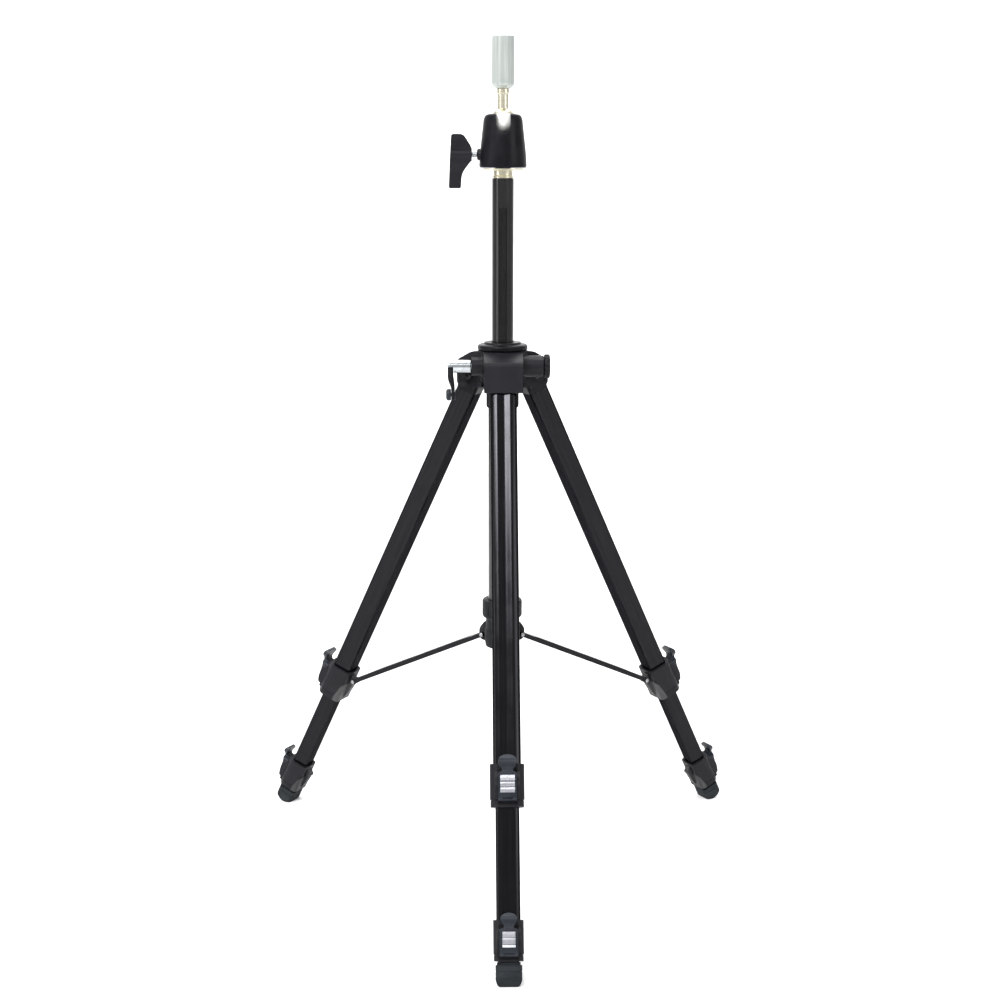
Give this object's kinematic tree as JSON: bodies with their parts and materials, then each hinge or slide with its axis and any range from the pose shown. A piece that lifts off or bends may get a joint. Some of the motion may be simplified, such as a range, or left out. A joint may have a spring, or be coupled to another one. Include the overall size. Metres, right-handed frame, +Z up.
{
  "type": "tripod stand",
  "caption": "Folding light tripod stand with telescoping flip-lock legs, geared centre column with crank, and a tilting head peg in a clamped ball socket.",
  "frame": {"origin": "on the floor, at the centre of the footprint box of the spread feet", "axes": "+Z up the column, -Y towards the front leg, -X towards the crank"},
  "size_m": [0.5226, 0.4535, 0.8575],
  "materials": {
    "black_plastic": "moulded, fine satin grain",
    "black_aluminium": "black anodised, satin",
    "gloss_black": "gloss black coat",
    "grey_plastic": "moulded",
    "rubber": "matt moulded rubber",
    "chrome": "bright plated",
    "steel": "plated rivet",
    "satin_metal": "satin, pale grey",
    "champagne": "polished, warm grey"
  },
  "bodies": {
    "canopy": {"canopy": "black_plastic", "canopy_ring": "black_plastic", "guide_tube": "black_aluminium", "guide_cap": "black_plastic", "front_hinge_pin": "steel", "right_hinge_pin": "steel", "left_hinge_pin": "steel"},
    "column": {"column_tube": "gloss_black", "column_rack": "black_plastic", "column_spigot": "champagne"},
    "crank": {"crank_shaft": "chrome", "crank_arm": "black_plastic"},
    "crank_grip": {"crank_knob": "black_plastic"},
    "column_lock": {"column_lock_knob": "black_plastic"},
    "head": {"head_base": "black_plastic", "clamp_cup": "grey_plastic"},
    "peg": {"tilt_ball": "champagne", "head_peg": "satin_metal"},
    "clamp_handle": {"clamp_lever": "black_plastic", "clamp_screw": "chrome"},
    "slider": {"spreader_slider": "black_plastic", "front_brace_pin": "steel", "right_brace_pin": "steel", "left_brace_pin": "steel"},
    "front_leg": {"front_leg_head": "black_plastic", "front_upper_tube": "black_aluminium", "front_upper_lock_collar": "black_plastic"},
    "front_upper_lever": {"front_upper_lock_lever": "black_plastic", "front_upper_lock_plate": "chrome"},
    "front_middle": {"front_middle_tube": "black_aluminium", "front_lower_lock_collar": "black_plastic"},
    "front_lower_lever": {"front_lower_lock_lever": "black_plastic", "front_lower_lock_plate": "chrome"},
    "front_lower": {"front_lower_tube": "black_aluminium", "front_foot": "rubber"},
    "front_brace": {"front_brace": "black_aluminium"},
    "right_leg": {"right_leg_head": "black_plastic", "right_upper_tube": "black_aluminium", "right_upper_lock_collar": "black_plastic"},
    "right_upper_lever": {"right_upper_lock_lever": "black_plastic", "right_upper_lock_plate": "chrome"},
    "right_middle": {"right_middle_tube": "black_aluminium", "right_lower_lock_collar": "black_plastic"},
    "right_lower_lever": {"right_lower_lock_lever": "black_plastic", "right_lower_lock_plate": "chrome"},
    "right_lower": {"right_lower_tube": "black_aluminium", "right_foot": "rubber"},
    "right_brace": {"right_brace": "black_aluminium"},
    "left_leg": {"left_leg_head": "black_plastic", "left_upper_tube": "black_aluminium", "left_upper_lock_collar": "black_plastic"},
    "left_upper_lever": {"left_upper_lock_lever": "black_plastic", "left_upper_lock_plate": "chrome"},
    "left_middle": {"left_middle_tube": "black_aluminium", "left_lower_lock_collar": "black_plastic"},
    "left_lower_lever": {"left_lower_lock_lever": "black_plastic", "left_lower_lock_plate": "chrome"},
    "left_lower": {"left_lower_tube": "black_aluminium", "left_foot": "rubber"},
    "left_brace": {"left_brace": "black_aluminium"}
  },
  "joints": [
    {"name": "column_slide", "type": "slide", "parent": "canopy", "child": "column", "axis": [0, 0, 1], "range_m": [-0.15, 0.11]},
    {"name": "crank_turn", "type": "hinge", "parent": "canopy", "child": "crank", "pos_m": [-0.04, 0.05551, 0.534], "axis": [1, 0, 0], "range_deg": [-1800, 1320]},
    {"name": "crank_grip_spin", "type": "hinge", "parent": "crank", "child": "crank_grip", "pos_m": [-0.055, 0.05551, 0.505], "axis": [1, 0, 0], "continuous": true},
    {"name": "column_lock_turn", "type": "hinge", "parent": "canopy", "child": "column_lock", "pos_m": [0.044, 0.05551, 0.534], "axis": [1, 0, 0], "range_deg": [0, 270]},
    {"name": "head_swivel", "type": "hinge", "parent": "column", "child": "head", "pos_m": [0, 0.07011, 0.74], "axis": [0, 0, 1], "continuous": true},
    {"name": "head_tilt", "type": "hinge", "parent": "head", "child": "peg", "pos_m": [0, 0.07011, 0.7765], "axis": [1, 0, 0], "range_deg": [0, 90]},
    {"name": "clamp_turn", "type": "hinge", "parent": "head", "child": "clamp_handle", "pos_m": [-0.035, 0.07011, 0.744], "axis": [-1, 0, 0], "range_deg": [0, 720]},
    {"name": "slider_travel", "type": "slide", "parent": "canopy", "child": "slider", "axis": [0, 0, 1], "range_m": [0, 0.0664]},
    {"name": "front_leg_fold", "type": "hinge", "parent": "canopy", "child": "front_leg", "pos_m": [0, 0.04011, 0.5233], "axis": [1, 0, 0], "range_deg": [0, 20]},
    {"name": "front_brace_swing", "type": "hinge", "parent": "slider", "child": "front_brace", "pos_m": [0, 0.04811, 0.2435], "axis": [1, 0, 0], "range_deg": [0, 57.8]},
    {"name": "front_upper_lever_flip", "type": "hinge", "parent": "front_leg", "child": "front_upper_lever", "pos_m": [0, -0.16104, 0.15908], "axis": [1, 0, 0], "range_deg": [0, 120]},
    {"name": "front_middle_slide", "type": "slide", "parent": "front_leg", "child": "front_middle", "axis": [0, -0.4462, -0.8949], "range_m": [-0.085, 0.17]},
    {"name": "front_lower_lever_flip", "type": "hinge", "parent": "front_middle", "child": "front_lower_lever", "pos_m": [0, -0.22095, 0.03389], "axis": [1, 0, 0], "range_deg": [0, 120]},
    {"name": "front_lower_slide", "type": "slide", "parent": "front_middle", "child": "front_lower", "axis": [0, -0.4462, -0.8949], "range_m": [0, 0.28]},
    {"name": "right_leg_fold", "type": "hinge", "parent": "canopy", "child": "right_leg", "pos_m": [0.02598, 0.08511, 0.5233], "axis": [-0.5, 0.866, 0], "range_deg": [0, 20]},
    {"name": "right_brace_swing", "type": "hinge", "parent": "slider", "child": "right_brace", "pos_m": [0.01905, 0.08111, 0.2435], "axis": [-0.5, 0.866, 0], "range_deg": [0, 57.8]},
    {"name": "right_upper_lever_flip", "type": "hinge", "parent": "right_leg", "child": "right_upper_lever", "pos_m": [0.20018, 0.18568, 0.15908], "axis": [-0.5, 0.866, 0], "range_deg": [0, 120]},
    {"name": "right_middle_slide", "type": "slide", "parent": "right_leg", "child": "right_middle", "axis": [0.3864, 0.2231, -0.8949], "range_m": [-0.085, 0.17]},
    {"name": "right_lower_lever_flip", "type": "hinge", "parent": "right_middle", "child": "right_lower_lever", "pos_m": [0.25206, 0.21563, 0.03389], "axis": [-0.5, 0.866, 0], "range_deg": [0, 120]},
    {"name": "right_lower_slide", "type": "slide", "parent": "right_middle", "child": "right_lower", "axis": [0.3864, 0.2231, -0.8949], "range_m": [0, 0.28]},
    {"name": "left_leg_fold", "type": "hinge", "parent": "canopy", "child": "left_leg", "pos_m": [-0.02598, 0.08511, 0.5233], "axis": [-0.5, -0.866, 0], "range_deg": [0, 20]},
    {"name": "left_brace_swing", "type": "hinge", "parent": "slider", "child": "left_brace", "pos_m": [-0.01905, 0.08111, 0.2435], "axis": [-0.5, -0.866, 0], "range_deg": [0, 57.8]},
    {"name": "left_upper_lever_flip", "type": "hinge", "parent": "left_leg", "child": "left_upper_lever", "pos_m": [-0.20018, 0.18568, 0.15908], "axis": [-0.5, -0.866, 0], "range_deg": [0, 120]},
    {"name": "left_middle_slide", "type": "slide", "parent": "left_leg", "child": "left_middle", "axis": [-0.3864, 0.2231, -0.8949], "range_m": [-0.085, 0.17]},
    {"name": "left_lower_lever_flip", "type": "hinge", "parent": "left_middle", "child": "left_lower_lever", "pos_m": [-0.25206, 0.21563, 0.03389], "axis": [-0.5, -0.866, 0], "range_deg": [0, 120]},
    {"name": "left_lower_slide", "type": "slide", "parent": "left_middle", "child": "left_lower", "axis": [-0.3864, 0.2231, -0.8949], "range_m": [0, 0.28]}
  ],
  "couplings": [
    {"joint": "crank_turn", "follows": "column_slide", "rad_per_m": 208.33},
    {"joint": "slider_travel", "follows": "front_leg_fold", "m_per_rad": 0.1899},
    {"joint": "front_brace_swing", "follows": "front_leg_fold", "ratio": 2.8876},
    {"joint": "right_leg_fold", "follows": "front_leg_fold", "ratio": 1},
    {"joint": "right_brace_swing", "follows": "front_leg_fold", "ratio": 2.8876},
    {"joint": "left_leg_fold", "follows": "front_leg_fold", "ratio": 1},
    {"joint": "left_brace_swing", "follows": "front_leg_fold", "ratio": 2.8876}
  ]
}
